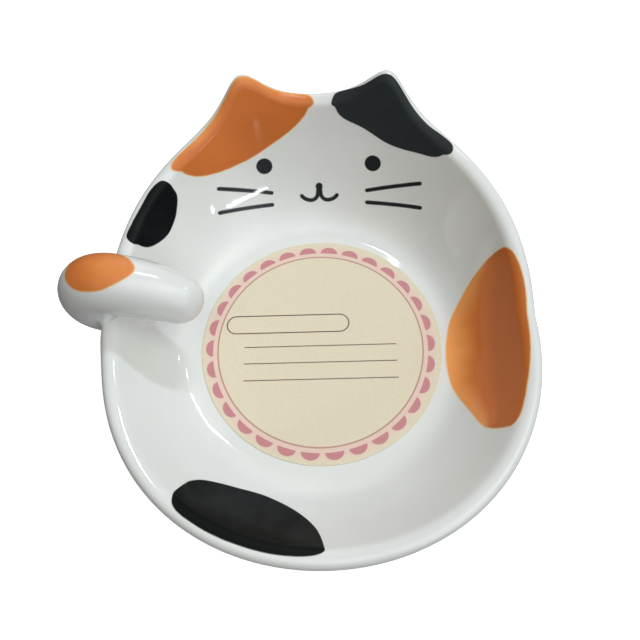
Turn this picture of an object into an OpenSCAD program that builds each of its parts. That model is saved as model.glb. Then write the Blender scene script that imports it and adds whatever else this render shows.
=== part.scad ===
// Spoon rest: a glazed porcelain dish in the outline of a seated cat.
// The round body is a shallow bowl, the head with its two ears is the raised
// far wall, and a separately cast tail is luted over the rim at the left, where
// it props the handle of a ladle. A round paper label lies on the floor, and the
// calico coat and the face are fired-on colour films.
// Millimetres, +Z up, +Y towards the ears, origin at the centre of the foot ring.

/* [Dish] */
// Radius of the round body at the outer edge of the lip
body_r = 49.5; // [44:0.5:56]
// Distance of the body's centre from the floor's centre, away from the ears
body_shift = 3.1; // [0:0.1:5]
// Extra width of the two haunches
haunch_reach = 0.7; // [0:0.1:2]
// Radius of the flat floor
floor_r = 31.5; // [31:0.1:33]
// Thickness of the floor
floor_t = 4; // [3:0.5:6]
// Height of the lip above the floor along the body
rim_h = 15; // [13:0.5:20]
// Thickness of the wall at the lip
lip_t = 3.6; // [3:0.2:5]
// Slope of the wall where it runs into the lip, in degrees
lip_slope_angle = 57; // [50:1:65]
// Share of the wall that is taken by the curve out of the floor
fillet_share = 0.8; // [0.4:0.05:1.2]

/* [Head] */
// How far the head reaches beyond the body
head_reach = 12; // [8:0.1:15]
// Rise of the lip for each millimetre that the head reaches out
head_rise = 0.85; // [0.6:0.05:1.1]
// Length of an ear, measured up the slope of the wall
ear_length = 8.7; // [5:0.1:12]
// Angle of each ear from the middle of the head, in degrees
ear_angle = 17.3; // [14:0.1:21]
// Width of an ear's flank, in degrees
ear_flank_angle = 4.8; // [3.5:0.1:7]
// Rounding of an ear's tip, in degrees
ear_tip_angle = 3.9; // [2:0.1:6]

/* [Foot ring] */
// Mean radius of the foot ring
foot_r = 27; // [20:0.5:28.5]
// Width of the foot ring
foot_w = 3; // [2:0.5:4]
// Height of the foot ring
foot_h = 2; // [1.5:0.5:4]

/* [Tail] */
// Direction of the tail round the dish, in degrees from +X
tail_angle = 171.5; // [165:0.5:185]
// Radius of the tail at its bend
tail_r = 6.8; // [6:0.1:7.2]
// Radius of the tail at its tip
tail_tip_r = 5.8; // [4.5:0.1:6]
// Radius of the tail at its root
tail_root_r = 5; // [4.5:0.1:6]
// How far the tail stands out beyond the rim
tail_out = 10; // [9:0.1:12]
// How deep the tail is set into the lip
tail_sink = 0.6; // [0.4:0.1:1.5]
// Length of the run from the bend to the centre of the round tip
tail_run = 15; // [10:0.5:18]
// Downward lean of the run, in degrees, where it leaves the bend
tail_droop_angle = 2; // [0:0.5:8]
// Further downward turn of the run on its way to the tip, in degrees
tail_curl_angle = 26; // [5:1:35]
// Swelling of the rim where the tail is luted on
tail_swell = 1.2; // [0:0.1:2]

/* [Label] */
// Bare floor left round the paper label
label_margin = 1.5; // [0.5:0.1:6]
// Thickness of the paper
label_t = 0.2; // [0.1:0.05:0.4]

/* [Colour films] */
// Thickness of a fired-on film
film_t = 0.2; // [0.15:0.05:0.4]
// Clearance between a film and the glaze under it
film_gap = 0.06; // [0.05:0.01:0.1]

/* [Face] */
// Place of the nose, as a share of the way up the wall
nose_share = 0.52; // [0.45:0.01:0.6]
// Distance of the nose from the middle of the head, to the right
face_shift = 0.4; // [-1:0.1:1]
// Radius of the nose
nose_r = 0.85; // [0.7:0.05:1.5]
// Diameter of an eye
eye_d = 4.2; // [3:0.1:6]
// Distance between the eyes
eye_spacing = 28.4; // [22:0.2:32]
// Height of the eyes above the nose, measured up the face
eye_rise = 5.8; // [3:0.1:7]
// Width of the strokes of the mouth and whiskers
stroke_w = 1; // [0.8:0.1:1.4]
// Length of the stem between the nose and the mouth
stem_length = 2.2; // [1.8:0.1:3]
// Radius of the two curls of the mouth
mouth_r = 2.6; // [2:0.1:3.2]
// Distance of a whisker's root from the middle of the face
whisker_start = 12.8; // [11:0.2:15]
// Length of a whisker
whisker_length = 13.4; // [8:0.2:14]
// Drop of an upper whisker's root below the nose
upper_whisker_drop = 1.5; // [0.5:0.1:2.5]
// Upward lean of an upper whisker, in degrees
upper_whisker_angle = 11; // [0:1:15]
// Drop of a lower whisker's root below the nose
lower_whisker_drop = 4.7; // [3.5:0.1:6]
// Upward lean of a lower whisker, in degrees
lower_whisker_angle = -2; // [-10:1:5]

/* [Hidden] */

porcelain = "#eef0ee";
orange_glaze = "#cc7436";
black_glaze = "#1c1e20";
label_paper = "#e8dcbc";

// Heights of the floor's two faces, and the radius of the rounded lip
under_z = foot_h;
floor_z = foot_h + floor_t;
lip_r = lip_t / 2;

// Radius of the label, which is cut to the floor
label_r = floor_r - label_margin;

// Facets: the ears need closer stations than the round body
head_half_angle = 36;
head_step_angle = 1.2;
body_step_angle = 3.2;
wall_steps = 8;
lip_steps = 3;
tail_sides = 20;
round_facets = 96;
stroke_facets = 32;

// How closely the facets crowd together in the curve out of the floor
wall_crowding = 1.5;

// Sharpness of the corner where the head grows out of the body
head_power = 1.22;

// The rim swells most a little past the tail, on its near side
tail_swell_past_angle = 7;
tail_swell_half_angle = 9;

// Stations round the dish from the middle of the near side, once round
function stations(step) = concat(
    [for (a = [-90:step:90 - head_half_angle - step / 2]) a],
    [for (a = [90 - head_half_angle:head_step_angle:90 + head_half_angle - head_step_angle / 2]) a],
    [for (a = [90 + head_half_angle:step:270 - step / 2]) a]);

function turn(a) = a - 360 * round(a / 360);
function mix(p, q, u) = p + (q - p) * u;

// Value at u, 0 to 1, of a smooth curve through equally spaced values
function spline(values, u) =
    let (last = len(values) - 1,
         i = min(floor(u * last), last - 1),
         w = u * last - i,
         p = [for (k = [-1:2]) values[max(0, min(last, i + k))]])
    p[1] + w * ((p[2] - p[0]) / 2 + w * (p[0] - 2.5 * p[1] + 2 * p[2] - p[3] / 2
        + w * (1.5 * (p[1] - p[2]) + (p[3] - p[0]) / 2)));

// Outline of the lip without its ears, seen from above, by the angle from +X
function growth(a) = head_reach * pow(max(0, sin(a)), head_power);
function body(a) = sqrt(pow(body_r, 2) - pow(body_shift * cos(a), 2)) - body_shift * sin(a)
    + haunch_reach * (sin(a) < 0 ? pow(sin(2 * a), 2) : 0)
    + tail_swell * exp(-pow(turn(a - tail_angle - tail_swell_past_angle) / tail_swell_half_angle, 2));
function edge_r(a) = body(a) + growth(a);
function edge_z(a) = floor_z + rim_h + head_rise * growth(a);
function ear(a) = exp((ear_tip_angle - sqrt(a * a + ear_tip_angle * ear_tip_angle)) / ear_flank_angle);
function ears(a) = ear(turn(a - 90 - ear_angle)) + ear(turn(a - 90 + ear_angle));

// The upright section at angle a, in points [distance from the axis, height]. Each
// face of the wall leaves the flat level, curves up to s = 1, where the lip would
// start without the ears, and goes straight on up the ears.
full_rise = sqrt(pow(fillet_share, 2) + 1) - fillet_share;
end_rise = 1 / (full_rise + fillet_share) / full_rise;
function rise(s) = s < 0 ? 0 : (sqrt(pow(fillet_share, 2) + s * s) - fillet_share) / full_rise;
function climb(from, to, s) = [mix(from[0], to[0], s), mix(from[1], to[1], rise(s))];
function round_end(a, b) = [edge_r(a) - lip_r + lip_r * cos(b), edge_z(a) - lip_r + lip_r * sin(b)];
function ear_way(a) =
    let (end = round_end(a, 90 + lip_slope_angle))
    [end[0] - floor_r, (end[1] - floor_z) * end_rise];
function wall(a, s, base_z, b) =
    climb([floor_r, base_z], round_end(a, b), min(s, 1)) + max(0, s - 1) * ear_way(a);
function inner_wall(a, s) = wall(a, s, floor_z, 90 + lip_slope_angle);
function outer_wall(a, s) = wall(a, s, under_z, lip_slope_angle - 90);

// The share s at which the lip starts, and the lip itself, a half circle on which b
// is the direction from its centre
function wall_top(a) = 1 + ear_length * ears(a) / norm(ear_way(a));
function lip(a, b) = round_end(a, b) + (wall_top(a) - 1) * ear_way(a);
function wall_share(a, i) = wall_top(a) * pow(i / wall_steps, wall_crowding);

// Each side of the section, from the floor up to the middle of the lip
function inner_side(a) = concat(
    [for (i = [0:wall_steps]) inner_wall(a, wall_share(a, i))],
    [for (i = [1:lip_steps]) lip(a, lip_slope_angle + 90 * (1 - i / lip_steps))]);
function outer_side(a) = concat(
    [for (i = [0:wall_steps]) outer_wall(a, wall_share(a, i))],
    [for (i = [1:lip_steps - 1]) lip(a, lip_slope_angle - 90 * (1 - i / lip_steps))]);
function section(a) =
    let (outer = outer_side(a), n = len(outer))
    concat(inner_side(a), [for (i = [1:n]) outer[n - i]]);

function at(a, p) = [p[0] * cos(a), p[0] * sin(a), p[1]];

// Two triangles for each cell of a grid of points, whose rows are wide points long.
// A wrapped grid joins its last row to its first.
function grid_faces(rows, wide, wrapped = false) =
    [for (i = [0:rows - (wrapped ? 1 : 2)], j = [0:wide - 2])
        let (p = i * wide + j, q = ((i + 1) % rows) * wide + j)
        each [[p, p + 1, q + 1], [p, q + 1, q]]];

// A closed solid from faces that are listed anticlockwise as seen from outside
module shell(points, faces) {
    polyhedron(points, [for (f = faces) [f[2], f[1], f[0]]]);
}

// The bowl, with its flat floor and flat underside
module bowl() {
    angles = stations(body_step_angle);
    n = len(angles);
    wide = len(section(0));
    points = concat([for (a = angles, p = section(a)) at(a, p)],
                    [[0, 0, floor_z], [0, 0, under_z]]);
    faces = concat(grid_faces(n, wide, true),
        [for (i = [0:n - 1]) [n * wide, i * wide, ((i + 1) % n) * wide]],
        [for (i = [0:n - 1]) [n * wide + 1, ((i + 1) % n + 1) * wide - 1, (i + 1) * wide - 1]]);
    shell(points, faces);
}

// The stretch of the wall that the tail lies against, with the bowl's own facets
module wall_under_tail() {
    reach_angle = 18;
    angles = [for (a = stations(body_step_angle)) if (abs(turn(a - tail_angle)) < reach_angle) a];
    n = len(angles);
    wide = len(section(0));
    points = [for (a = angles, p = section(a)) at(a, p)];
    tip = (wide - 1) / 2;
    ends = concat([[tip - 1, tip + 1, tip]], [for (i = [0:tip - 2])
        let (p = i, q = wide - 1 - i)
        each [[p, q, q - 1], [p, q - 1, p + 1]]]);
    last = (n - 1) * wide;
    faces = concat(grid_faces(n, wide),
        [for (i = [0:n - 2], f = [[0, 1, 3], [0, 3, 2]])
            let (c = [i * wide, (i + 1) * wide, (i + 1) * wide - 1, (i + 2) * wide - 1])
            [c[f[0]], c[f[1]], c[f[2]]]],
        ends,
        [for (f = ends) [f[2] + last, f[1] + last, f[0] + last]]);
    shell(points, faces);
}

// Foot ring with its edges taken off, let a little way into the floor
module foot_ring() {
    bevel = 0.4;
    let_in = 1;
    inside = foot_r - foot_w / 2;
    outside = foot_r + foot_w / 2;
    rotate_extrude($fn = round_facets)
        polygon([[inside + bevel, 0], [outside - bevel, 0], [outside, bevel],
                 [outside, under_z + let_in], [inside, under_z + let_in], [inside, bevel]]);
}

module dish() {
    color(porcelain) union() {
        bowl();
        foot_ring();
    }
}

// The tail's centre line lies in one upright plane: a close arc from the wall over the
// lip, then a wide one down to the tip. Each station is [distance from the axis,
// height, direction of the tail's back, radius].
tail_bend_gap = 0.2;
tail_bend_r = tail_r + tail_bend_gap;
tail_bend_z = edge_z(tail_angle) + tail_r - tail_sink - tail_bend_r;
tail_bend_x = edge_r(tail_angle) + tail_out - tail_r - tail_bend_r;
tail_low_angle = -90;
tail_back = 90 + tail_droop_angle;
tail_tip_end_angle = 88;
tail_arc_steps = 13;
tail_run_steps = 5;
tail_tip_steps = 6;

tail_run_r = tail_run / tail_curl_angle * 180 / PI;
function tail_arc(b) =
    let (r = mix(tail_r, tail_root_r, pow(min(b, 0) / tail_low_angle, 2)))
    [tail_bend_x + tail_bend_r * cos(b), tail_bend_z + tail_bend_r * sin(b), b, r];
function tail_inward(length, r) =
    let (start = tail_arc(tail_back), b = tail_back + length / tail_run_r * 180 / PI)
    [start[0] + tail_run_r * (cos(b) - cos(tail_back)),
     start[1] + tail_run_r * (sin(b) - sin(tail_back)), b, r];
function tail_run_radius(length) = mix(tail_r, tail_tip_r, pow(length / tail_run, 2));
function tail_tip(b) =
    let (end = tail_inward(tail_run, tail_tip_r * cos(b)), ahead = tail_tip_r * sin(b))
    [end[0] - ahead * sin(end[2]), end[1] + ahead * cos(end[2]), end[2], end[3]];
function tail_stations() = concat(
    [for (i = [0:tail_arc_steps]) tail_arc(mix(tail_low_angle, tail_back, i / tail_arc_steps))],
    [for (i = [1:tail_run_steps])
        let (length = tail_run * i / tail_run_steps) tail_inward(length, tail_run_radius(length))],
    [for (i = [1:tail_tip_steps]) tail_tip(tail_tip_end_angle * i / tail_tip_steps)]);

// A point on the tail's skin, at angle v from its back, lifted off it by lift
function tail_skin(station, v, lift = 0) =
    let (r = station[3] + lift, out = r * cos(v))
    [station[0] + out * cos(station[2]), r * sin(v), station[1] + out * sin(station[2])];

// The tail's root draws in a little and ends inside the wall, so that the wall cuts
// it to its own slope
tail_root_depth = 1.4;
tail_root_share = 0.85;
function outer_wall_r(z) =
    let (top = round_end(tail_angle, lip_slope_angle - 90),
         h = max(0, (z - under_z) / (top[1] - under_z)) * full_rise)
    mix(floor_r, top[0], sqrt(pow(h + fillet_share, 2) - pow(fillet_share, 2)));
function tail_root(v) =
    let (first = tail_skin(tail_arc(tail_low_angle), v),
         centre = tail_arc(tail_low_angle),
         z = mix(centre[1], first[2], tail_root_share))
    [outer_wall_r(z) - tail_root_depth, first[1] * tail_root_share, z];

module tail() {
    line = tail_stations();
    n = len(line);
    rings = concat([[for (j = [0:tail_sides - 1]) tail_root(360 * j / tail_sides)]],
        [for (s = line) [for (j = [0:tail_sides - 1]) tail_skin(s, 360 * j / tail_sides)]]);
    points = concat([for (ring = rings, p = ring) p],
                    [[for (k = [0:2]) (rings[0][0][k] + rings[0][tail_sides / 2][k]) / 2]],
                    [[for (k = [0:2]) (rings[n][0][k] + rings[n][tail_sides / 2][k]) / 2]]);
    root = (n + 1) * tail_sides;
    faces = [for (j = [0:tail_sides - 1])
        let (k = (j + 1) % tail_sides)
        each concat(
            [for (i = [0:n - 1], f = [[0, 1, 3], [0, 3, 2]])
                let (c = [i * tail_sides + j, i * tail_sides + k,
                          (i + 1) * tail_sides + j, (i + 1) * tail_sides + k])
                [c[f[0]], c[f[1]], c[f[2]]]],
            [[root, k, j], [root + 1, n * tail_sides + j, n * tail_sides + k]])];
    color(porcelain) difference() {
        rotate(tail_angle) shell(points, faces);
        wall_under_tail();
    }
}

module label() {
    color(label_paper) translate([0, 0, floor_z])
        cylinder(r = label_r, h = label_t, $fn = round_facets);
}

// A point on the inner face, lifted off it by lift. Above the wall it goes on round
// the lip, half a turn for each unit of s.
function inner_slope(a, s) =
    let (step = 0.01, p = inner_wall(a, s), q = inner_wall(a, s + step))
    atan2(q[1] - p[1], q[0] - p[0]);
function on_face(a, s, lift) =
    let (past = s - wall_top(a),
         b = 90 + (past < 0 ? inner_slope(a, s) : lip_slope_angle - 180 * past),
         p = past < 0 ? inner_wall(a, s) : lip(a, b))
    at(a, p + lift * [cos(b), sin(b)]);

// A closed sheet between two layers of points, each with rows of equal length
module sheet(low, high) {
    rows = len(low);
    wide = len(low[0]);
    n = rows * wide;
    under = grid_faces(rows, wide);
    edge = concat([for (j = [0:wide - 1]) j],
                  [for (i = [1:rows - 1]) i * wide + wide - 1],
                  [for (j = [1:wide - 1]) n - 1 - j],
                  [for (i = [1:rows - 2]) (rows - 1 - i) * wide]);
    faces = concat([for (f = under) [f[2], f[1], f[0]]],
        [for (f = under) [f[0] + n, f[1] + n, f[2] + n]],
        [for (i = [0:len(edge) - 1])
            let (p = edge[i], q = edge[(i + 1) % len(edge)])
            each [[p, q, q + n], [p, q + n, p + n]]]);
    shell(concat([for (row = low, p = row) p], [for (row = high, p = row) p]), faces);
}

// A patch of colour along the rim, between its two end angles from +X. Its low edge runs
// through the shares of the wall in low. Its high edge runs through the places in high,
// which count from the foot of the lip, negative ones down the wall. Both edges meet at
// the two tips, which count in the same way, and are drawn in round there. The rows crowd
// together on the lip, and a few columns stand close to each tip.
film_end = 0.02;
film_crowding = 1.6;
tip_column_angles = [0, 0.2, 0.8, 1.8];
tip_clear_angle = 2.2;
module rim_patch(angles, tips, low, high, rows, tint) {
    a = angles[0];
    b = angles[1];
    low_edge = concat([wall_top(a) + tips[0]], low, [wall_top(b) + tips[1]]);
    high_edge = concat([tips[0]], high, [tips[1]]);
    between = [for (c = stations(body_step_angle))
        if (c > a + tip_clear_angle && c < b - tip_clear_angle) c];
    columns = concat([for (t = tip_column_angles) a + t], between,
                     [for (i = [len(tip_column_angles) - 1:-1:0]) b - tip_column_angles[i]]);
    layers = [for (lift = [film_gap, film_gap + film_t])
        [for (c = columns)
            let (u = acos(1 - 2 * (c - a) / (b - a)) / 180,
                 from = spline(low_edge, u) - film_end,
                 to = wall_top(c) + spline(high_edge, u) + film_end)
            [for (j = [0:rows]) on_face(c, mix(to, from, pow(1 - j / rows, film_crowding)), lift)]]];
    color(tint) sheet(layers[0], layers[1]);
}

left_ear_angles = [90, 132.9];
left_ear_tips = [0.05, 0.11];
left_ear_low = [0.97, 0.86, 0.8, 0.83, 0.94];
left_ear_high = [0.4, 0.39, 0.38, 0.28, 0.33];
right_ear_angles = [50.7, 85.8];
right_ear_tips = [0.08, 0.04];
right_ear_low = [0.97, 0.91, 0.88, 0.93, 0.98];
right_ear_high = [0.37, 0.26, 0.26, 0.21, 0.38];
left_cheek_angles = [135.3, 155.8];
left_cheek_tips = [-0.05, 0.16];
left_cheek_low = [0.87, 0.81, 0.79, 0.84, 0.95];
left_cheek_high = [0.12, 0.31, 0.26, 0.3, 0.32];
right_flank_angles = [-33.7, 22.6];
right_flank_tips = [-0.23, -0.15];
right_flank_low = [0.49, 0.11, -0.02, 0.1, 0.47];
right_flank_high = [-0.04, 0, 0.19, 0.27, 0.04];
rump_angles = [229.8, 269.8];
rump_tips = [-0.22, -0.01];
rump_low = [0.67, 0.53, 0.44, 0.51, 0.71];
rump_high = [0.13, 0.26, 0.22, 0.22, 0.12];
ear_rows = 6;
cheek_rows = 6;
flank_rows = 10;
rump_rows = 8;

module left_ear_patch() {
    rim_patch(left_ear_angles, left_ear_tips, left_ear_low, left_ear_high, ear_rows, orange_glaze);
}
module right_ear_patch() {
    rim_patch(right_ear_angles, right_ear_tips, right_ear_low, right_ear_high, ear_rows, black_glaze);
}
module left_cheek_patch() {
    rim_patch(left_cheek_angles, left_cheek_tips, left_cheek_low, left_cheek_high, cheek_rows, black_glaze);
}
module right_flank_patch() {
    rim_patch(right_flank_angles, right_flank_tips, right_flank_low, right_flank_high,
              flank_rows, orange_glaze);
}
module rump_patch() {
    rim_patch(rump_angles, rump_tips, rump_low, rump_high, rump_rows, black_glaze);
}

// The orange patch over the tail's bend, an egg-shaped oval on its skin
tail_patch_start_angle = 49;
tail_patch_run = 5.7;
tail_patch_half_angle = 51;
tail_patch_side_angle = -9;
tail_patch_skew = 0.42;
tail_patch_end_angle = 8;
tail_patch_columns = 18;
tail_patch_rows = 8;
function tail_patch_station(u) =
    let (arc = (tail_back - tail_patch_start_angle) * PI / 180 * tail_bend_r,
         d = u * (arc + tail_patch_run))
    d < arc ? tail_arc(tail_patch_start_angle + d / tail_bend_r * 180 / PI)
            : tail_inward(d - arc, tail_run_radius(d - arc));
module tail_patch() {
    layers = [for (lift = [film_gap, film_gap + film_t])
        [for (i = [0:tail_patch_columns])
            let (b = mix(tail_patch_end_angle, 180 - tail_patch_end_angle, i / tail_patch_columns),
                 place = tail_patch_station((1 - cos(b)) / 2),
                 half = tail_patch_half_angle * sin(b) * (1 + tail_patch_skew * cos(b)))
            [for (j = [0:tail_patch_rows])
                tail_skin(place, tail_patch_side_angle + half * (2 * j / tail_patch_rows - 1), lift)]]];
    color(orange_glaze) rotate(tail_angle) sheet(layers[0], layers[1]);
}

// The face is drawn flat in a plane that touches the wall at the nose, and pressed
// straight on to the glaze. Each film is what its drawing, from x = left to x = right
// of the nose, cuts out of a sheet over that stretch of the wall.
nose = inner_wall(90, nose_share);
nose_slope = inner_slope(90, nose_share);
face_low = 0.2;
face_high = 0.98;
face_rows = 8;
face_step_angle = 4;
face_margin_angle = 3;
face_depth = rim_h;
function face_angle(x) = 90 - asin((face_shift + x) / nose[0]);
module face_film(left, right) {
    a = face_angle(right) - face_margin_angle;
    b = face_angle(left) + face_margin_angle;
    columns = ceil((b - a) / face_step_angle);
    layers = [for (lift = [film_gap, film_gap + film_t])
        [for (i = [0:columns])
            [for (j = [0:face_rows])
                on_face(mix(a, b, i / columns), mix(face_low, face_high, j / face_rows), lift)]]];
    color(black_glaze) intersection() {
        sheet(layers[0], layers[1]);
        translate([face_shift, nose[0], nose[1]]) rotate([nose_slope, 0, 0])
            translate([0, 0, -face_depth]) linear_extrude(2 * face_depth) children();
    }
}

module eye(side) {
    x = side * eye_spacing / 2;
    face_film(x - eye_d / 2, x + eye_d / 2)
        translate([x, eye_rise]) circle(d = eye_d, $fn = round_facets / 2);
}

module left_eye() { eye(-1); }
module right_eye() { eye(1); }

// A stroke along an arc, from angle a to angle b, with a round end at b
module arc_stroke(r, a, b) {
    steps = stroke_facets / 2;
    polygon(concat(
        [for (i = [0:steps]) let (c = mix(a, b, i / steps)) (r + stroke_w / 2) * [cos(c), sin(c)]],
        [for (i = [0:steps]) let (c = mix(b, a, i / steps)) (r - stroke_w / 2) * [cos(c), sin(c)]]));
    translate(r * [cos(b), sin(b)]) circle(d = stroke_w, $fn = stroke_facets);
}

// Nose, short stem and the two curls of the mouth, which start inside the stem and
// turn up at their ends
module nose_and_mouth() {
    curl_from = -175;
    curl_to = -28;
    curl_rise = 0.6;
    curl_x = mouth_r - stroke_w / 4;
    half = curl_x + mouth_r + stroke_w / 2;
    face_film(-half, half) {
        circle(nose_r, $fn = stroke_facets);
        translate([-stroke_w / 2, -stem_length]) square([stroke_w, stem_length]);
        for (side = [0, 1]) mirror([side, 0])
            translate([curl_x, curl_rise - stem_length]) arc_stroke(mouth_r, curl_from, curl_to);
    }
}

// A straight whisker with round ends
module whisker(side, drop, lean) {
    near = side * (whisker_start - stroke_w / 2);
    far = side * (whisker_start + whisker_length + stroke_w / 2);
    face_film(min(near, far), max(near, far))
        mirror([side < 0 ? 1 : 0, 0]) translate([whisker_start, -drop]) rotate(lean) {
            translate([0, -stroke_w / 2]) square([whisker_length, stroke_w]);
            for (x = [0, whisker_length]) translate([x, 0]) circle(d = stroke_w, $fn = stroke_facets);
        }
}

module upper_whisker(side) { whisker(side, upper_whisker_drop, upper_whisker_angle); }
module lower_whisker(side) { whisker(side, lower_whisker_drop, lower_whisker_angle); }
module left_upper_whisker() { upper_whisker(-1); }
module left_lower_whisker() { lower_whisker(-1); }
module right_upper_whisker() { upper_whisker(1); }
module right_lower_whisker() { lower_whisker(1); }

dish();
tail();
label();
left_ear_patch();
right_ear_patch();
left_cheek_patch();
right_flank_patch();
rump_patch();
tail_patch();
left_eye();
right_eye();
nose_and_mouth();
left_upper_whisker();
left_lower_whisker();
right_upper_whisker();
right_lower_whisker();
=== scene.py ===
# %% [markdown]
# # A porcelain spoon rest in the outline of a seated cat
#
# The real thing is a shallow dish of slip-cast porcelain under a clear glaze. Its far
# wall rises into a head with two ears, a separately cast tail is luted over the rim at
# the left, and the calico coat and the face are colours that were fired on to the glaze.
# A round paper label lies on the floor of the dish.
#
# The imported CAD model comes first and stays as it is. It fixes the frame: metres, the
# origin at the centre of the foot ring, +Z up and +Y towards the ears. Every piece below
# is made in that frame, so nothing has to be fitted afterwards.

import bpy
import numpy as np
from mathutils import Matrix, Vector


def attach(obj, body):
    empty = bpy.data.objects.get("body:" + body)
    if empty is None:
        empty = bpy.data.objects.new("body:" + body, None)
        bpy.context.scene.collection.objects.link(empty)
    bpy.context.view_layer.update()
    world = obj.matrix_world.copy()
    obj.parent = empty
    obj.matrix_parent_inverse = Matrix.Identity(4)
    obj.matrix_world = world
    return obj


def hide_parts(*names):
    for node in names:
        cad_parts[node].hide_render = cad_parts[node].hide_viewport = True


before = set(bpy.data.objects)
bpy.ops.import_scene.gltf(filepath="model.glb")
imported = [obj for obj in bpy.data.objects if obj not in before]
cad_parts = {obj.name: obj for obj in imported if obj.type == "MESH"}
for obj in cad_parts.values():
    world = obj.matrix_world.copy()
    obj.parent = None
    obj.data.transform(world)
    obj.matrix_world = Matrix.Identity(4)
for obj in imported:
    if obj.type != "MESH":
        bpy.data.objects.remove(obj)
scene = bpy.context.scene
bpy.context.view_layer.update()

# %% [markdown]
# ## The outline of the dish
#
# Seen from above, the lip is a circle whose centre lies a little towards the near side.
# The head grows out of it on the far side, the haunches widen it a little on the near
# side, and it swells where the tail is luted on. All of it is one function of the angle
# from +X, in degrees, so that the dish and every colour patch can ask the same function.
# The ears are two narrow peaks that let the wall run on further up its own slope.

# %% Outline of the lip by angle
MM = 0.001

body_r, body_shift, haunch_reach = 49.5, 3.1, 0.7
head_reach, head_power, head_rise = 12.0, 1.22, 0.85
ear_length, ear_angle, ear_flank, ear_tip = 8.7, 17.3, 4.8, 3.9
floor_r, under_z, floor_z, rim_h = 31.5, 2.0, 6.0, 15.0
lip_r, shoulder_r = 1.8, 3.2
tail_angle = 171.5
tail_swell, tail_swell_past, tail_swell_half = 1.2, 7.0, 9.0


def sin(a):
    """Sine of an angle in degrees."""
    return np.sin(np.radians(a))


def cos(a):
    """Cosine of an angle in degrees."""
    return np.cos(np.radians(a))


def turn(a):
    """The angle a brought between -180 and 180 degrees."""
    return a - 360 * np.round(a / 360)


def mix(p, q, u):
    """The value u of the way from p to q."""
    return p + (q - p) * u


def growth(a):
    """How far the head reaches out: head_reach times the sine of the angle, to a power."""
    return head_reach * np.maximum(0, sin(a)) ** head_power


def edge(a):
    """Radius and height of the lip: the shifted circle, plus haunches, tail swelling and head."""
    circle = np.sqrt(body_r ** 2 - (body_shift * cos(a)) ** 2) - body_shift * sin(a)
    haunches = haunch_reach * np.where(sin(a) < 0, sin(2 * a) ** 2, 0)
    swell = tail_swell * np.exp(-(turn(a - tail_angle - tail_swell_past) / tail_swell_half) ** 2)
    return circle + haunches + swell + growth(a), floor_z + rim_h + head_rise * growth(a)


def ears(a):
    """Share of an ear's length at angle a: two peaks with round tips and falling flanks."""
    off = np.stack([turn(a - 90 - ear_angle), turn(a - 90 + ear_angle)])
    return np.exp((ear_tip - np.sqrt(off ** 2 + ear_tip ** 2)) / ear_flank).sum(0)


lip_edge = edge(np.arange(0.0, 360.0, 0.5))
print("lip radius %.1f to %.1f mm, height %.1f to %.1f mm without ears"
      % (lip_edge[0].min(), lip_edge[0].max(), lip_edge[1].min(), lip_edge[1].max()))

# %% [markdown]
# ## The section of the wall
#
# A casting mould gives the wall a soft curve out of the floor that straightens towards
# the lip. Glaze draws back from a sharp edge and gathers beside it, so the lip is rounder
# towards the inside than towards the outside: two arcs that meet at its crest. A turned
# profile would be enough for a plain bowl, but here the wall's height and reach change
# with the angle. So the section is worked out for all angles at once. The wall is a
# hyperbola in s, the share of the way up: it leaves the floor level and reaches the lip
# at s = 1 in just the direction in which the lip starts. Past 1 it goes straight on, up
# the ears.

# %% Inner wall, lip and outer wall as functions of angle and share
fillet_share, first_slope, slope_rounds, ear_blend = 0.8, 55.0, 12, 0.1
full_rise = np.sqrt(fillet_share ** 2 + 1) - fillet_share
end_rise = 1 / np.sqrt(fillet_share ** 2 + 1) / full_rise


def rise(s):
    """Share of the height at share s of the wall: a hyperbola that starts level."""
    return (np.sqrt(fillet_share ** 2 + np.maximum(s, 0) ** 2) - fillet_share) / full_rise


def wall_end(a, base_z, side):
    """Slope, radius and height at the end of a face of the wall, where it meets the lip.

    The lip is an arc on each side of its crest. The face ends where the arc's own direction
    is the direction in which the face arrives, which a few rounds of trying settle.
    """
    r, z = edge(a)
    slope = first_slope + 0 * a
    arc = shoulder_r if side > 0 else lip_r
    for _ in range(slope_rounds):
        end_r = r - lip_r - side * arc * sin(slope)
        end_z = z - arc + side * arc * cos(slope)
        slope = np.degrees(np.arctan2((end_z - base_z) * end_rise, end_r - floor_r))
    return slope, end_r, end_z


def section_ends(a):
    """For each angle: the inner end, the step of the wall there, the top share and the lip's two ends."""
    inner_slope, inner_r, inner_z = wall_end(a, floor_z, 1)
    way = np.stack([inner_r - floor_r, (inner_z - floor_z) * end_rise])
    top = 1 + ear_length * ears(a) / np.hypot(*way)
    outer_slope, outer_r, outer_z = wall_end(a, under_z, -1)
    on_ear = np.clip((top - 1) / ear_blend, 0, 1)
    return dict(inner=(inner_r, inner_z), outer=(outer_r, outer_z), way=way, top=top,
                lip_from=90 + inner_slope, lip_to=mix(outer_slope, inner_slope, on_ear) - 90)


def inner_wall(a, s):
    """Radius and height on the inner face: radius grows evenly with s, height by the hyperbola."""
    e = section_ends(a)
    past = np.maximum(s - 1, 0)
    return (mix(floor_r, e["inner"][0], s),
            mix(floor_z, e["inner"][1], rise(np.minimum(s, 1))) + past * e["way"][1])


def outer_wall(a, s):
    """Radius and height on the outer face, which goes on beside the inner one up the ears."""
    e = section_ends(a)
    held, past = np.minimum(s, 1), np.maximum(s - 1, 0)
    return (mix(floor_r, e["outer"][0], held) + past * e["way"][0],
            mix(under_z, e["outer"][1], rise(held)) + past * e["way"][1])


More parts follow.
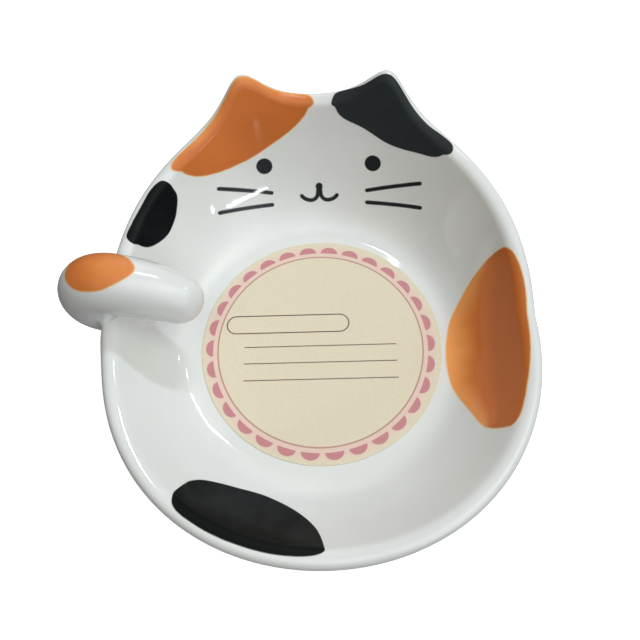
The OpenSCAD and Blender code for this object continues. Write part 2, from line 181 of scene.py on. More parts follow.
def lip(a, u):
    """Radius and height on the lip: a wide arc from the inner face at 0 to the crest, then a close one."""
    e = section_ends(a)
    r, z = edge(a)
    b = mix(e["lip_from"], e["lip_to"], u)
    arc = np.where(b > 90, shoulder_r, lip_r)
    past = e["top"] - 1
    return (r - lip_r + arc * cos(b) + past * e["way"][0],
            z - arc + arc * sin(b) + past * e["way"][1])


def place(a, r, z):
    """Points from angle, radius and height."""
    return np.stack([r * cos(a), r * sin(a), z + 0 * a], -1)


def on_face(a, s):
    """A point of the inner face at share s, which goes on round the lip past the wall's top."""
    top = section_ends(a)["top"]
    wall_point, lip_point = inner_wall(a, np.minimum(s, top)), lip(a, np.maximum(s - top, 0))
    on_wall = s <= top
    return place(a, np.where(on_wall, wall_point[0], lip_point[0]),
                 np.where(on_wall, wall_point[1], lip_point[1]))


ends = section_ends(np.array([0.0, 90 - ear_angle, 90.0, 270.0]))
print("wall's slope at the lip in degrees:", np.round(ends["lip_from"] - 90, 1).tolist())

# %% [markdown]
# ## Putting a surface into a mesh
#
# A surface is an array of points, rows by columns. Blender wants a list of points and a
# list of faces, and the faces of a grid are always the same pattern of four neighbours,
# so they can be made for the whole grid at once. Rows that run round the object wrap,
# and a surface that closes to one point gets a fan of triangles there.

# %% Helpers that turn grids of points into meshes
def grid_faces(rows, columns, wrap=False, start=0):
    """Four corners for each cell of a grid, so that its front is across the rows, then along them."""
    i, j = np.meshgrid(np.arange(rows - 1), np.arange(columns - (not wrap)), indexing="ij")
    k = (j + 1) % columns
    corners = [i * columns + j, (i + 1) * columns + j, (i + 1) * columns + k, i * columns + k]
    return np.stack(corners, -1).reshape(-1, 4) + start


def fan_faces(pole, ring):
    """Three corners for each pair of neighbours on a closed ring, and the pole."""
    return np.stack([np.full(len(ring), pole), ring, np.roll(ring, -1)], -1)


def closed_skin(grid, first, last):
    """Points and faces of rings that close to one point before the first and one after the last."""
    rings, around = grid.shape[:2]
    ring = np.arange(around)
    faces = [grid_faces(rings, around, wrap=True),
             fan_faces(rings * around, ring),
             fan_faces(rings * around + 1, ring[::-1] + (rings - 1) * around)]
    return np.concatenate([grid.reshape(-1, 3), [first, last]]), faces


def smooth_object(name, points, faces):
    """Makes an object with a smooth mesh in metres from points in millimetres and arrays of faces."""
    mesh = bpy.data.meshes.new(name)
    corners = [corner for part in faces for corner in part.tolist()]
    mesh.from_pydata((np.asarray(points, float) * MM).tolist(), [], corners)
    mesh.shade_smooth()
    made = bpy.data.objects.new(name, mesh)
    scene.collection.objects.link(made)
    return made


def add_piece(name, points, faces, node, slot, sharp=None):
    """Makes a piece of the object, which rides on its one body and hides the CAD node it takes the place
    of.
    """
    piece = smooth_object(name, points, faces)
    if sharp:
        piece.data.set_sharp_from_angle(angle=np.radians(sharp))
    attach(piece, "root")
    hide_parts(node)
    triangles = sum(len(part) * (part.shape[1] - 2) for part in faces)
    print("%s: %d points, %d triangles" % (name, len(points), triangles))
    return piece


print("a grid of 3 by 4 points has", len(grid_faces(3, 4)), "faces")

# %% [markdown]
# ## The tail's line
#
# The tail was cast by itself and stuck on with slip before the first firing. Its line
# lies in one upright plane: it leaves the outer wall, turns over the lip in a close bend
# and then curls down into the dish, where its round tip holds the handle of a ladle. Each
# station on that line has a place, the direction of the tail's back and a radius, and the
# skin is a ring round each station. This is a profile carried along a path.

# %% Stations along the tail
tail_r, tail_tip_r, tail_root_r = 6.8, 5.8, 5.0
tail_out, tail_sink, tail_run = 10.0, 0.6, 15.0
tail_droop, tail_curl, tail_low, tail_slack = 2.0, 26.0, -90.0, 0.2
tail_bend_r = tail_r + tail_slack
tail_edge_r, tail_edge_z = edge(np.array(tail_angle))
tail_bend = np.array([tail_edge_r + tail_out - tail_r - tail_bend_r,
                      tail_edge_z + tail_r - tail_sink - tail_bend_r])
tail_back = 90 + tail_droop
tail_run_r = np.degrees(tail_run / tail_curl)
bend_length = np.radians(tail_back - tail_low) * tail_bend_r


def tail_line(d):
    """Radius, height, back direction and thickness at length d: a close arc, then a wide one.

    The arc thins towards the root with the square of the angle below level, and the run
    thins towards the tip with the square of the length.
    """
    b = tail_low + np.degrees(np.minimum(d, bend_length) / tail_bend_r)
    run = np.clip(d - bend_length, 0, tail_run)
    c = tail_back + np.degrees(run / tail_run_r)
    r = tail_bend[0] + tail_bend_r * cos(b) + tail_run_r * (cos(c) - cos(tail_back))
    z = tail_bend[1] + tail_bend_r * sin(b) + tail_run_r * (sin(c) - sin(tail_back))
    thick = mix(tail_r, tail_root_r, (np.minimum(b, 0) / tail_low) ** 2)
    thick = np.where(run > 0, mix(tail_r, tail_tip_r, (run / tail_run) ** 2), thick)
    return r, z, np.where(run > 0, c, b), thick


def tail_place(r, side, z):
    """Points from the tail's own plane, turned to where the tail stands on the rim."""
    return np.stack([r * cos(tail_angle) - side * sin(tail_angle),
                     r * sin(tail_angle) + side * cos(tail_angle), z], -1)


def tail_skin(d, v, lift=0.0):
    """A point of the skin at length d and angle v from the tail's back, lifted off it by lift."""
    r, z, back, thick = tail_line(d)
    out = (thick + lift) * cos(v)
    return tail_place(r + out * cos(back), (thick + lift) * sin(v), z + out * sin(back))


tail_length = bend_length + tail_run
print("tail: %.1f mm along its line to the centre of its round tip" % tail_length)

# %% [markdown]
# ## The fillet between tail and dish
#
# Slip and glaze fill the crease where the tail was stuck on, so the two run into each
# other in a small hollow curve. Joining the meshes and smoothing them would lose the
# separate pieces. Instead each surface swells as it comes near the other one. With the
# swelling (sqrt k - sqrt d) squared, where d is the distance to the other piece and k the
# width of the fillet, the two swollen surfaces meet in one line and share its direction.

# %% Distance to the tail, and the swelling that makes the fillet
fillet_k, line_stations = 2.2, 160
line_r, line_z, _, line_thick = tail_line(np.linspace(0, tail_length, line_stations))
line_points = tail_place(line_r, 0 * line_r, line_z)


def tail_distance(points):
    """Distance of each point from the tail's skin: to the nearest station, less its radius."""
    gap = np.linalg.norm(points[..., None, :] - line_points, axis=-1) - line_thick
    return gap.min(-1)


def swelling(distance):
    """How far a surface swells at that distance from the other piece."""
    d = np.clip(distance, 0, fillet_k)
    return (np.sqrt(fillet_k) - np.sqrt(d)) ** 2


def normals_of(grid):
    """Unit normals of a grid of rings: the cross product of the steps across and along the rings."""
    along = np.roll(grid, -1, 1) - np.roll(grid, 1, 1)
    n = np.cross(np.gradient(grid, axis=0), along)
    return n / np.maximum(np.linalg.norm(n, axis=-1, keepdims=True), 1e-12)


print("fillet reaches %.1f mm up the tail and the wall" % fillet_k)

# %% [markdown]
# ## The dish
#
# The whole dish is one closed surface: from the middle of the floor out to the wall, up
# and over the lip, down the outer wall, round the foot ring and back to the middle of
# the underside. Its section is carried once round, with more angles at the ears, where
# the outline turns quickly. The foot ring has soft edges, as a wiped foot has.

# %% Dish as one closed surface
head_half, head_step, body_step = 40.0, 0.5, 1.0
wall_steps, wall_crowding, lip_steps, outer_softening = 34, 1.4, 22, 3
angles = np.concatenate([np.arange(-90, 90 - head_half, body_step),
                         np.arange(90 - head_half, 90 + head_half, head_step),
                         np.arange(90 + head_half, 270, body_step)])
floor_radii = np.array([5.0, 12.0, 19.0, 25.0, 29.0, 30.6])
wall_shares = np.linspace(0, 1, wall_steps) ** wall_crowding
lip_turns = np.linspace(0, 1, lip_steps)[1:]
foot_section = np.array([
    [30.2, 2.0], [29.2, 2.0], [28.8, 1.94], [28.58, 1.78], [28.5, 1.5], [28.5, 0.55], [28.45, 0.3],
    [28.31, 0.12], [28.1, 0.02], [27.8, 0.0], [27.0, 0.0], [26.2, 0.0], [25.9, 0.02], [25.69, 0.12],
    [25.55, 0.3], [25.5, 0.55], [25.5, 1.5], [25.42, 1.78], [25.2, 1.94], [24.8, 2.0], [23.5, 2.0],
    [17.0, 2.0], [9.0, 2.0]])


def soften(rows, times):
    """Each row but the first and last moves to the mean of itself and its neighbours, a few times."""
    for _ in range(times):
        rows[1:-1] = 0.5 * rows[1:-1] + 0.25 * (rows[:-2] + rows[2:])
    return rows


def dish_rows(a):
    """The section for every angle, row by row from the middle of the floor to that of the underside."""
    top = section_ends(a)["top"]
    flat = [place(a, radius + 0 * a, floor_z) for radius in floor_radii]
    inner = [place(a, *inner_wall(a, share * top)) for share in wall_shares]
    rounded = [place(a, *lip(a, u)) for u in lip_turns]
    outer = np.array([place(a, *outer_wall(a, share * top)) for share in wall_shares[::-1]])
    foot = [place(a, r + 0 * a, z) for r, z in foot_section]
    return np.array(flat + inner + rounded + list(soften(outer, outer_softening)[1:]) + foot)


dish_grid = dish_rows(angles)
dish_grid = dish_grid + swelling(tail_distance(dish_grid))[..., None] * normals_of(dish_grid)
dish_skin = closed_skin(dish_grid, (0, 0, floor_z), (0, 0, under_z))
dish = add_piece("porcelain_dish", *dish_skin, "dish", "porcelain")

# %% [markdown]
# ## The tail
#
# The skin starts inside the wall of the dish, so that no end shows, and closes to a point
# at the middle of the round tip. Near the dish it swells by the same rule as the dish
# does near the tail.

# %% Tail as a skin round its line
tail_sides, tail_rings, root_rings, tip_rings, tip_turn = 80, 110, 9, 24, 88
root_depth, root_share = 1.4, 0.85
tail_reach, wall_rows = 32, slice(8, 90)
tail_v = np.arange(tail_sides) * 360 / tail_sides
tail_d = np.linspace(0, tail_length, tail_rings)
tip_turns = np.linspace(0, tip_turn, tip_rings)[1:]


def tail_root():
    """The last ring, drawn in a little and set a short way inside the outer face of the wall.

    The radius of the outer face at a height is the hyperbola of the section, turned round.
    """
    _, z, _, thick = tail_line(np.array(0.0))
    e = section_ends(np.array(tail_angle))
    ring_z = z + root_share * thick * sin(tail_low) * cos(tail_v)
    h = np.maximum(0, (ring_z - under_z) / (e["outer"][1] - under_z)) * full_rise
    wall_r = mix(floor_r, e["outer"][0], np.sqrt((h + fillet_share) ** 2 - fillet_share ** 2))
    return tail_place(wall_r - root_depth, root_share * thick * sin(tail_v), ring_z)


def tail_rows():
    """Rings from the root to the tip: into the wall, along the line, then round the end as a half ball."""
    along = tail_skin(tail_d[:, None], tail_v[None, :])
    r, z, back, _ = tail_line(np.array(tail_length))
    ahead = tail_tip_r * sin(tip_turns)[:, None]
    ring = tail_tip_r * cos(tip_turns)[:, None]
    out = ring * cos(tail_v)
    tip = tail_place(r - ahead * sin(back) + out * cos(back), ring * sin(tail_v),
                     z + ahead * cos(back) + out * sin(back))
    root = mix(tail_root(), along[0], np.linspace(0, 1, root_rings)[:-1, None, None])
    return np.concatenate([root, along, tip])


def dish_distance(points):
    """Distance of each point outside the dish: along the normal of the dish's nearest point."""
    close = np.abs(turn(angles - tail_angle)) < tail_reach
    section = dish_rows(angles)
    grid = section[wall_rows, close].reshape(-1, 3)
    normals = normals_of(section)[wall_rows, close].reshape(-1, 3)
    flat = points.reshape(-1, 3)
    square = (flat ** 2).sum(1)[:, None] - 2 * flat @ grid.T + (grid ** 2).sum(1)
    nearest = square.argmin(1)
    return ((flat - grid[nearest]) * normals[nearest]).sum(1).reshape(points.shape[:-1])


tail_grid = tail_rows()
tail_grid = tail_grid - swelling(dish_distance(tail_grid))[..., None] * normals_of(tail_grid)
tail_ends = (tail_grid[0].mean(0), tail_grid[-1].mean(0))
tail = add_piece("porcelain_tail", *closed_skin(tail_grid[:, ::-1], *tail_ends), "tail", "porcelain")

# %% [markdown]
# ## Thin films of colour
#
# On such ware the coat and the face are enamel colours, brushed or printed on and fired.
# They are far thinner than a hair, so a film here is a closed sheet that stands just
# proud of the glaze and reaches just under it. Each point of a film also keeps two
# numbers for its material: its distance from the film's border in millimetres, because
# the colour thins out there, and the colour's tone, from pale at 0 to deep at 1. On the
# rump and the right flank that tone is painted light: a painted reflection low on the
# patch, and on the flank painted shade near the lip.

# %% Helper that makes a film from a grid of points and normals
film_over, film_under, film_lap, film_sharp = 0.03, 0.05, 0.15, 40


def border_of(rows, columns):
    """Numbers of the points round the border of a grid, in order, once round."""
    index = np.arange(rows * columns).reshape(rows, columns)
    return np.concatenate([index[0, :-1], index[:-1, -1], index[-1, :0:-1], index[:0:-1, 0]])


def film_faces(rows, columns, start=0):
    """Faces of a closed film: the upper grid, the lower one turned over, and the wall between them."""
    upper = grid_faces(rows, columns, start=start)
    below = rows * columns
    border = border_of(rows, columns) + start
    after = np.roll(border, -1)
    return [upper, upper[:, ::-1] + below, np.stack([border, after, after + below, border + below], -1)]


def keep_number(piece, name, values):
    """Stores one number for each point of a piece, which its material can read by name."""
    attribute = piece.data.attributes.new(name, "FLOAT", "POINT")
    attribute.data.foreach_set("value", np.asarray(values, np.float32))


def distances(points, others):
    """Distance of each point from each of the others."""
    return np.sqrt(((points[:, None, :] - others) ** 2).sum(-1))


def free_border(grids):
    """Border points of all grids together, without those that lie on another grid."""
    free = []
    for k, grid in enumerate(grids):
        rim = grid.reshape(-1, 3)[border_of(*grid.shape[:2])]
        others = [other.reshape(-1, 3) for j, other in enumerate(grids) if j != k]
        covered = [distances(rim, other).min(1) < film_lap for other in others]
        free.append(rim[~np.any(covered, axis=0)] if others else rim)
    return np.concatenate(free)


def add_film(name, parts, node, slot, cover_and_painted_light=0.5):
    """Makes one film from parts, each a grid of points, their normals and a small extra lift.

    The last argument is the colour's tone from pale at 0 to deep at 1, one number or one for each row of
    the grid; on the rump and right flank patches these rows are painted light.
    """
    points, faces, inset, covers_and_painted_light, start = [], [], [], [], 0
    rim = free_border([grid for grid, _, _ in parts])
    for grid, normals, lift in parts:
        rows, columns = grid.shape[:2]
        flat, up = grid.reshape(-1, 3), normals.reshape(-1, 3)
        away = distances(flat, rim).min(1)
        points += [flat + (film_over + lift) * up, flat - film_under * up]
        faces += film_faces(rows, columns, start)
        inset += [away, away]
        # Tone for each point: on the rump and right flank this is painted reflection and painted shade, not
        # thickness
        thick = np.broadcast_to(np.reshape(cover_and_painted_light, (-1, 1)), (rows, columns)).ravel()
        covers_and_painted_light += [thick, thick]
        start += 2 * len(flat)
    piece = add_piece(name, np.concatenate(points), faces, node, slot, film_sharp)
    keep_number(piece, "inset_mm", np.concatenate(inset))
    keep_number(piece, "cover_and_painted_light", np.concatenate(covers_and_painted_light))
    return piece


def face_normals(a, s):
    """Unit normals of the inner face: the step up the wall crossed with the step round it."""
    step_s, step_a = 0.003, 0.05
    up = on_face(a, s + step_s) - on_face(a, s - step_s)
    round_it = on_face(a + step_a, s) - on_face(a - step_a, s)
    n = np.cross(up, round_it)
    return n / np.linalg.norm(n, axis=-1, keepdims=True)


print("films stand %.2f mm over the glaze" % film_over)

# %% [markdown]
# ## The patches along the rim
#
# Five patches of the calico coat lie along the rim, over the inside of the lip and down
# into the dish. A patch could be cut out of a sheet with a curve, but then its points
# would lie anyhow. Here each patch is a grid of its own, with the angle in one direction
# and the way from its low to its high edge in the other, so that its border is a line of
# points and the colour can fade towards it. The edges are smooth curves through a few
# values, spaced so that both ends come out round. The values were fitted to the patches'
# borders in the photograph, and some were then changed.

# %% Five rim patches
tip_end = 0.02


def spline(values, u):
    """Value at u, 0 to 1, of a smooth curve through equally spaced values, a cubic between each two."""
    values = np.asarray(values, float)
    last = len(values) - 1
    i = np.minimum((u * last).astype(int), last - 1)
    w = u * last - i
    p = [values[np.clip(i + k, 0, last)] for k in (-1, 0, 1, 2)]
    return p[1] + w * ((p[2] - p[0]) / 2 + w * (p[0] - 2.5 * p[1] + 2 * p[2] - p[3] / 2
                                                + w * (1.5 * (p[1] - p[2]) + (p[3] - p[0]) / 2)))


def rim_patch(size, span, tips, low, high):
    """Grid of a patch between two angles: straight steps from its low edge to its high edge.

    The low edge runs through shares of the wall. The high edge and the tips count from
    the foot of the lip, negative ones down the wall.
    """
    rows, columns = size
    u = np.linspace(0.0, 1.0, columns)
    a = mix(*span, (1 - cos(180 * u)) / 2)
    top = section_ends(a)["top"]
    low_edge = spline([top[0] + tips[0], *low, top[-1] + tips[1]], u) - tip_end
    high_edge = top + spline([tips[0], *high, tips[1]], u) + tip_end
    s = mix(low_edge, high_edge, np.linspace(0, 1, rows)[:, None])
    a = np.broadcast_to(a, s.shape)
    return on_face(a, s), face_normals(a, s), 0.0


# Slot, rows and columns, angles, tips, low edge, high edge, and the colour's tone by the way up the patch,
# from pale at 0 to deep at 1
rim_patches = {
    "left_ear": ("orange_enamel", (56, 130), (90.2, 132.8), (0.14, 0.22), (1.0, 0.89, 0.83, 0.86, 0.98),
                 (0.44, 0.36, 0.34, 0.3, 0.33), lambda up: mix(0.95, 0.1, up)),
    "right_ear": ("black_enamel", (50, 120), (50.9, 85.8), (0.19, 0.1), (1.01, 0.94, 0.91, 0.96, 1.01),
                  (0.37, 0.28, 0.29, 0.25, 0.42), lambda up: 0.1),
    "left_cheek": ("black_enamel", (44, 80), (135.4, 155.7), (-0.05, 0.17), (0.9, 0.84, 0.82, 0.87, 0.97),
                   (0.21, 0.3, 0.29, 0.31, 0.34), lambda up: 0.95),
    # Right flank: pale low on the patch is a painted reflection, deep brown near the lip is painted shade
    "right_flank": ("orange_enamel", (80, 130), (-33.9, 22.3), (-0.23, -0.15),
                    (0.54, 0.12, -0.03, 0.1, 0.48), (0.08, 0.14, 0.23, 0.28, 0.17),
                    lambda up: np.minimum((1.65 * up) ** 2, 1)),
    # Rump: greyer low on the patch is a painted reflection, full black only near the lip
    "rump": ("black_enamel", (60, 120), (230, 270), (-0.17, 0.08), (0.67, 0.535, 0.465, 0.55, 0.77),
             (0.21, 0.26, 0.25, 0.24, 0.19), lambda up: np.interp(up, (0.45, 0.7), (0.72, 1.0))),
}
coat = {"orange_enamel": [], "black_enamel": []}
for name, (slot, size, *shape, cover_and_painted_light) in rim_patches.items():
    way_up = np.linspace(0, 1, size[0])
    patch = add_film(name + "_enamel", [rim_patch(size, *shape)], name + "_patch", slot, cover_and_painted_light(way_up))
    coat[slot].append(patch)

# %% [markdown]
# ## The patch on the tail
#
# The tail carries one egg-shaped patch over its bend. Along the tail it runs by length
# and across it by the angle round the skin, and its half width is a sine of the way along.

# %% Tail patch
patch_start, patch_run, patch_half, patch_side, patch_skew = 49.0, 5.7, 51.0, -9.0, 0.42
patch_end, patch_rows, patch_columns, patch_cover = 8, 80, 50, 0.3
patch_from = np.radians(patch_start - tail_low) * tail_bend_r
patch_b = np.linspace(patch_end, 180 - patch_end, patch_rows)[:, None]
patch_d = mix(patch_from, bend_length + patch_run, (1 - cos(patch_b)) / 2)
patch_width = patch_half * sin(patch_b) * (1 + patch_skew * cos(patch_b))
patch_v = patch_side + patch_width * np.linspace(-1, 1, patch_columns)
patch_d = np.broadcast_to(patch_d, patch_v.shape)
patch_grid = tail_skin(patch_d, patch_v)
patch_up = tail_skin(patch_d, patch_v, 1.0) - patch_grid
tail_film = (patch_grid[::-1], patch_up[::-1], 0.0)
patch = add_film("tail_enamel", [tail_film], "tail_patch", "orange_enamel", patch_cover)
coat["orange_enamel"].append(patch)

# %% [markdown]
# ## The face
#
# A face like this is often printed flat and slid on to the glaze, so it is drawn in a
# plane that touches the wall at the nose and then pressed on to the wall. Pressing is a
# search along the plane's normal for the height of the wall, done for all points at once
# by a few steps along the slope. Eyes are discs, whiskers are strokes with round ends, and
# the nose and mouth are a dot and two curls that run down from it.

# %% Pressing a flat drawing on to the wall
nose_share, nose_step, face_shift, press_step, press_rounds = 0.533, 0.01, 0.4, 0.01, 12
nose_line = np.array(inner_wall(np.array([90.0, 90.0]), np.array([nose_share, nose_share + nose_step])))
nose_point = nose_line[:, 0]
nose_slope = np.degrees(np.arctan2(*np.diff(nose_line)[::-1, 0]))
face_up = np.array([0, cos(nose_slope), sin(nose_slope)])
face_out = np.array([0, -sin(nose_slope), cos(nose_slope)])


def above_wall(points):
    """Height of points over the inner face, with the angle and share under them."""
    a = np.degrees(np.arctan2(points[..., 1], points[..., 0]))
    s = (np.hypot(points[..., 0], points[..., 1]) - floor_r) / (section_ends(a)["inner"][0] - floor_r)
    return points[..., 2] - inner_wall(a, s)[1], a, s


def pressed(x, y, lift=0.0):
    """A grid of drawing points, across and up the face, pressed on to the glaze, with its normals.

    The rows are turned round to run down the face, so that the film's faces point outwards.
    """
    x, y = x[::-1], y[::-1]
    across = np.array([1.0, 0, 0])
    flat = np.array([face_shift, *nose_point]) + x[..., None] * across + y[..., None] * face_up
    depth = np.zeros(x.shape)
    for _ in range(press_rounds):
        here = above_wall(flat + depth[..., None] * face_out)[0]
        ahead = above_wall(flat + (depth + press_step)[..., None] * face_out)[0]
        depth = depth - here * press_step / (ahead - here)
    _, a, s = above_wall(flat + depth[..., None] * face_out)
    return on_face(a, s), face_normals(a, s), lift


disc_steps, nose_steps = 24, 16
cap_from, cap_steps, run_steps, stroke_rows = 6, 10, 40, 7


def disc(x, y, r, count=disc_steps):
    """A disc as a grid: the square from -1 to 1 drawn in to a circle."""
    v, u = np.meshgrid(np.linspace(-1, 1, count), np.linspace(-1, 1, count), indexing="ij")
    return x + r * u * np.sqrt(1 - v * v / 2), y + r * v * np.sqrt(1 - u * u / 2)


def stroke(length, width):
    """Places along and across a straight stroke with round ends: half width by the circle of its end."""
    t = np.linspace(cap_from, 90, cap_steps)
    cap, half = width / 2 * cos(t), width / 2 * sin(t)
    run = np.linspace(0, length, run_steps)[1:-1]
    along = np.concatenate([-cap, run, length + cap[::-1]])
    across = np.concatenate([half, np.full(len(run), width / 2), half[::-1]])
    return along, across * np.linspace(-1, 1, stroke_rows)[:, None]


print("face plane leans %.1f degrees" % nose_slope)

# %% Eyes, nose and mouth, whiskers
eye_x, eye_y, eye_r = 14.2, 5.8, 2.1
stroke_w, nose_y, nose_r = 1.12, -0.3, 0.98
curl_x, curl_y, curl_down, curl_from = 0.15, -0.2, 1.7, -82.7
curl_close_r, curl_wide_r, curl_to = 1.8, 3.2, 52.3
whisker_start, whisker_length = 12.8, 13.4
whiskers = {"upper": (1.4, 11.5), "lower": (4.6, -1.5)}
film_step = 0.004
face_pieces = []


def curl(side):
    """One curl of the mouth, a bent stroke: down from the nose, round a close arc, then a wide one.

    Its heading turns evenly along each arc, and its places are the sum of its steps.
    """
    bends = np.cumsum([curl_down, np.radians(-curl_from) * curl_close_r, np.radians(curl_to) * curl_wide_r])
    along, across = stroke(bends[-1], stroke_w)
    step = np.diff(along, prepend=along[0])
    heading = np.interp(along - step / 2, bends, (curl_from, 0, curl_to))
    x = curl_x + np.cumsum(step * cos(heading)) - across * sin(heading)
    y = curl_y + np.cumsum(step * sin(heading)) + across * cos(heading)
    return (x, y) if side > 0 else (-x[::-1], y[::-1])


for side, name in ((-1, "left"), (1, "right")):
    eye = pressed(*disc(side * eye_x, eye_y, eye_r))
    face_pieces.append(add_film(name + "_eye_enamel", [eye], name + "_eye", "black_enamel"))
    for level, (drop, lean) in whiskers.items():
        along, across = stroke(whisker_length, stroke_w)
        x = whisker_start + along * cos(lean) - across * sin(lean)
        y = -drop + along * sin(lean) + across * cos(lean)
        x, y = (x, y) if side > 0 else (-x[::-1], y[::-1])
        face_pieces.append(add_film("%s_%s_whisker_enamel" % (name, level), [pressed(x, y)],
                                    "%s_%s_whisker" % (name, level), "black_enamel"))
mouth = [pressed(*disc(0, nose_y, nose_r, nose_steps), 2 * film_step),
         pressed(*curl(1), film_step), pressed(*curl(-1))]
face_pieces.append(add_film("nose_and_mouth_enamel", mouth, "nose_and_mouth", "black_enamel"))

# %% [markdown]
# ## The paper label
#
# The label is a disc of coated paper, stuck to the floor of the dish. It is turned round
# its middle like the dish, with a soft cut edge, and it reaches a hair under the glaze so
# that no gap shows.

# %% Label as a thin disc
label_r, label_t, label_under = 30.0, 0.2, 0.02
label_section = np.array([
    [4.0, label_t], [10.0, label_t], [16.0, label_t], [22.0, label_t], [27.0, label_t], [29.4, label_t],
    [29.8, label_t], [29.93, label_t - 0.02], [label_r, label_t - 0.08], [label_r, -label_under],
    [29.0, -label_under], [15.0, -label_under]])
label_angles = np.arange(0.0, 360.0, 1.5)
label_grid = np.array([place(label_angles, r + 0 * label_angles, floor_z + z) for r, z in label_section])
label_ends = ((0, 0, floor_z + label_t), (0, 0, floor_z - label_under))
label = add_piece("paper_label", *closed_skin(label_grid, *label_ends), "label", "label_paper")

# %% [markdown]
# ## Materials
#
# Colours are given as the sRGB hex values that a colour card would show, and one function
# turns them to the linear values that the renderer works in. One more function adds a
# node, sets its values, links it and gives back an output, so that each material reads as
# a list of what the surface does.

# %% Helpers for colours and nodes
NOISE, RANGE, MIX = "ShaderNodeTexNoise", "ShaderNodeMapRange", "ShaderNodeMix"
MATH, VECTOR, BUMP = "ShaderNodeMath", "ShaderNodeVectorMath", "ShaderNodeBump"
SOFT = "SMOOTHSTEP"


def linear(hex_colour):
    """Linear red, green, blue and alpha of an sRGB hex colour, by the sRGB curve."""
    c = np.array([int(hex_colour[k:k + 2], 16) for k in (1, 3, 5)]) / 255
    c = np.where(c <= 0.04045, c / 12.92, ((c + 0.055) / 1.055) ** 2.4)
    return (*c.tolist(), 1.0)


def add(tree, kind, inputs=None, out=0, **settings):
    """Adds a node with its settings and gives back an output; an input is a socket to link, or a value."""
    node = tree.nodes.new(kind)
    for key, value in settings.items():
        setattr(node, key, value)
    for key, value in (inputs or {}).items():
        if isinstance(value, bpy.types.NodeSocket):
            tree.links.new(value, node.inputs[key])
        else:
            node.inputs[key].default_value = value
    return node.outputs[out]


def new_material(name, **surface):
    """A material with a Principled surface whose constant values are set on its own sockets."""
    material = bpy.data.materials.new(name)
    material.use_nodes = True
    tree = material.node_tree
    shader = tree.nodes["Principled BSDF"]
    for key, value in surface.items():
        shader.inputs[key.replace("_", " ")].default_value = value
    return material, tree, shader, add(tree, "ShaderNodeTexCoord", out="Object")


def per_mm(size_mm):
    """Scale of a texture whose pattern repeats about every size_mm millimetres."""
    return 1 / (size_mm * MM)


print("#808080 is %.3f in linear values" % linear("#808080")[0])

# %% [markdown]
# ### Glazed porcelain
#
# Porcelain is white clay under a clear, glassy glaze. The glaze is smooth to the touch
# and mirrors the lamps sharply, but it is never quite level: slow ripples a centimetre
# long bend the reflections. The body is a cold white that varies a little from place to
# place, with a few iron specks a third of a millimetre wide. The foot ring is wiped
# clean before firing, so its lowest edge is matt and a little warmer.

# %% Glazed porcelain
glaze_ior, glaze_rough, clay_rough = 1.52, 0.045, 0.75
ripple_mm, ripple_high, cloud_mm, speck_mm = 9, 0.05, 24, 9


def glaze_ripple(tree, coords):
    """The slow unevenness of the glaze, some millimetres long and a few micrometres high, as a normal."""
    wave = add(tree, NOISE, {"Vector": coords, "Scale": per_mm(ripple_mm), "Detail": 2.0, "Roughness": 0.4})
    return add(tree, BUMP, {"Height": wave, "Distance": ripple_high * MM, "Strength": 1.0})


porcelain, tree, shader, coords = new_material("glazed porcelain", IOR=glaze_ior)
cloud = add(tree, NOISE, {"Vector": coords, "Scale": per_mm(cloud_mm), "Detail": 3.0})
cloudy = add(tree, RANGE, {"Value": cloud, "From Min": 0.35, "From Max": 0.65}, interpolation_type=SOFT)
white = add(tree, MIX, {0: cloudy, 6: linear("#e6e8e6"), 7: linear("#e2e4e2")}, 2, data_type="RGBA")
to_centre = add(tree, "ShaderNodeTexVoronoi", {"Vector": coords, "Scale": per_mm(speck_mm)}, "Distance")
cell_tone = add(tree, "ShaderNodeSeparateColor", {0: to_centre.node.outputs["Color"]})
in_speck = add(tree, RANGE, {"Value": to_centre, "From Min": 0.02, "From Max": 0.012})
chosen = add(tree, RANGE, {"Value": cell_tone, "From Min": 0.93, "From Max": 0.95})
speck = add(tree, MATH, {0: in_speck, 1: chosen}, operation="MULTIPLY")
specked = add(tree, MIX, {0: speck, 6: white, 7: linear("#8a857c")}, 2, data_type="RGBA")
height = add(tree, "ShaderNodeSeparateXYZ", {0: coords}, "Z")
wiped = add(tree, RANGE, {"Value": height, "From Min": 0.55 * MM, "From Max": 0.35 * MM})
clay = add(tree, MIX, {0: wiped, 6: specked, 7: linear("#e6e0d4")}, 2, data_type="RGBA")
rough = add(tree, RANGE, {"Value": wiped, "To Min": glaze_rough, "To Max": clay_rough})
tree.links.new(clay, shader.inputs["Base Color"])
tree.links.new(rough, shader.inputs["Roughness"])
tree.links.new(glaze_ripple(tree, coords), shader.inputs["Normal"])
for piece in (dish, tail):
    piece.data.materials.append(porcelain)
print(porcelain.name, "on", dish.name, "and", tail.name)

# %% [markdown]
# ### Orange and black enamel
#
# The patches are taken to be overglaze enamels. Orange enamel is brushed on: pale where
# it lies thin, brown where it lies thick, a little uneven everywhere, with a pale yellow
# fringe about half a millimetre wide where the brush stopped. Black enamel covers fully,
# with only a thin grey edge. Fired enamel can be as glossy as the glaze round it. Here
# the patches mirror less, because that matched the photograph's light and dark under
# this studio's lamps, and so did the tone from pale to deep. One photograph can't tell a
# dull surface from a dark room, so both are a match and not a fact about the ware. On the
# rump and the right flank the tone is painted light: paler low down as a painted
# reflection, and darker on the flank near the lip as painted shade. The face is a black
# print that mirrors as the glaze does. All three read the two numbers that each point of
# a film keeps.

# %% Enamels
mottle, wander_mm, wander_by = 0.13, 1.5, 0.1


